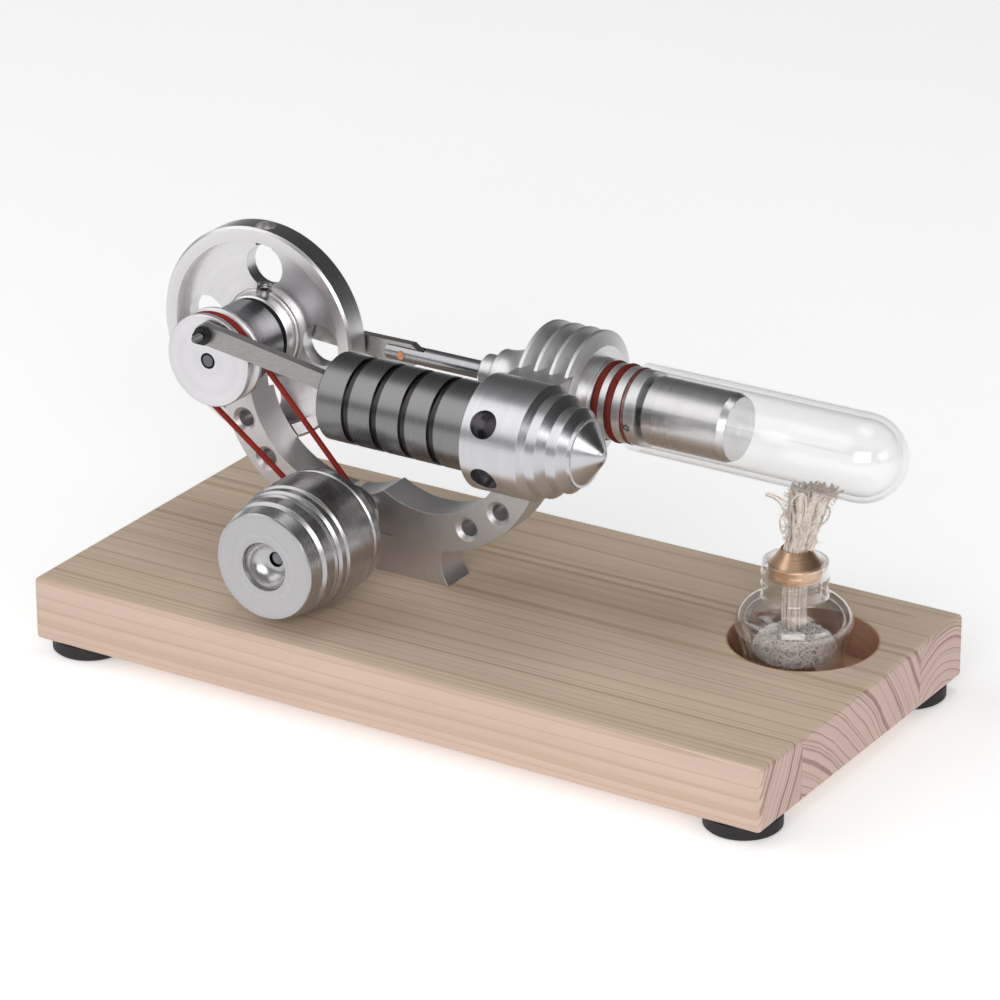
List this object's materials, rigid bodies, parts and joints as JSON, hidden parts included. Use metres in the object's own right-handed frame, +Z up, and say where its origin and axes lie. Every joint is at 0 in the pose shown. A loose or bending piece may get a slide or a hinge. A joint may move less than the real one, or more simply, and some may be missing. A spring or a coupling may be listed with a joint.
{
  "type": "stirling engine model",
  "caption": "Hot-air engine on a wooden board: spoked flywheel, belt-driven drum, power cylinder, finned heat sink, glass displacer tube and a spirit lamp.",
  "frame": {"origin": "centre of the rubber feet's underside, under the middle of the board", "axes": "+X along the board from the flywheel to the lamp, +Y from the drum side to the glass tube side, +Z up"},
  "size_m": [0.2002, 0.0984, 0.0961],
  "materials": {
    "wood": "clear satin lacquer",
    "black_rubber": "matt",
    "blasted_aluminium": "bead blasted, matt",
    "satin_aluminium": "fine faced, satin",
    "bright_aluminium": "turned, bright",
    "turned_steel": "turned, satin",
    "dark_steel": "ground, satin",
    "ground_steel": "ground, satin",
    "bearing_steel": "polished",
    "black_steel": "black oxide",
    "brass": "turned, slightly dull",
    "red_silicone": "satin",
    "glass": "clear, polished",
    "cotton": "loose cotton"
  },
  "bodies": {
    "frame": {"base_board": "wood", "foot_pads": "black_rubber", "frame_plate": "blasted_aluminium", "frame_screws": "black_steel", "crank_bearing_housing": "turned_steel", "crank_bearings": "bearing_steel", "power_cylinder": "dark_steel", "power_cylinder_head": "bright_aluminium", "heat_sink": "bright_aluminium", "guide_bush": "brass", "tube_seals": "red_silicone", "glass_tube": "glass", "drum_axle": "bearing_steel", "drive_belt": "red_silicone"},
    "crank": {"crankshaft": "bearing_steel", "crank_pulley": "satin_aluminium", "crank_spacer": "black_steel", "flywheel": "satin_aluminium", "flywheel_set_screw": "bearing_steel"},
    "work_drum": {"drum": "bright_aluminium", "drum_bearings": "bearing_steel", "drum_pulley": "satin_aluminium"},
    "power_piston": {"power_piston": "dark_steel", "wrist_pin": "bearing_steel"},
    "power_rod": {"power_con_rod": "ground_steel", "power_crank_pin": "bearing_steel", "power_crank_nut": "black_steel"},
    "displacer": {"displacer": "bright_aluminium", "displacer_rod": "bearing_steel", "fork_pin": "brass"},
    "displacer_link": {"displacer_con_rod": "ground_steel", "displacer_crank_pin": "bearing_steel"},
    "lamp": {"lamp_bottle": "glass", "wick_holder": "brass", "wick": "cotton", "wick_cotton": "cotton"}
  },
  "joints": [
    {"name": "crank_turn", "type": "hinge", "parent": "frame", "child": "crank", "pos_m": [-0.0729, 0, 0.0688], "axis": [0, 1, 0], "continuous": true},
    {"name": "drum_turn", "type": "hinge", "parent": "frame", "child": "work_drum", "pos_m": [-0.0355, 0, 0.0357], "axis": [0, 1, 0], "continuous": true},
    {"name": "piston_slide", "type": "slide", "parent": "frame", "child": "power_piston", "axis": [1, 0, 0], "range_m": [-0.00851, 0.00749]},
    {"name": "power_rod_swing", "type": "hinge", "parent": "power_piston", "child": "power_rod", "pos_m": [-0.02039, -0.01436, 0.0688], "axis": [0, 1, 0], "range_deg": [-17.61, 0.09]},
    {"name": "displacer_slide", "type": "slide", "parent": "frame", "child": "displacer", "axis": [1, 0, 0], "range_m": [-0.00006, 0.01594]},
    {"name": "displacer_link_swing", "type": "hinge", "parent": "displacer", "child": "displacer_link", "pos_m": [-0.0354, 0.0166, 0.0688], "axis": [0, 1, 0], "range_deg": [-11.55, 8.74]},
    {"name": "lamp_slide", "type": "slide", "parent": "frame", "child": "lamp", "axis": [1, 0, 0], "range_m": [-0.0015, 0.0063]}
  ],
  "couplings": [
    {"joint": "drum_turn", "follows": "crank_turn", "ratio": 1.7705}
  ]
}
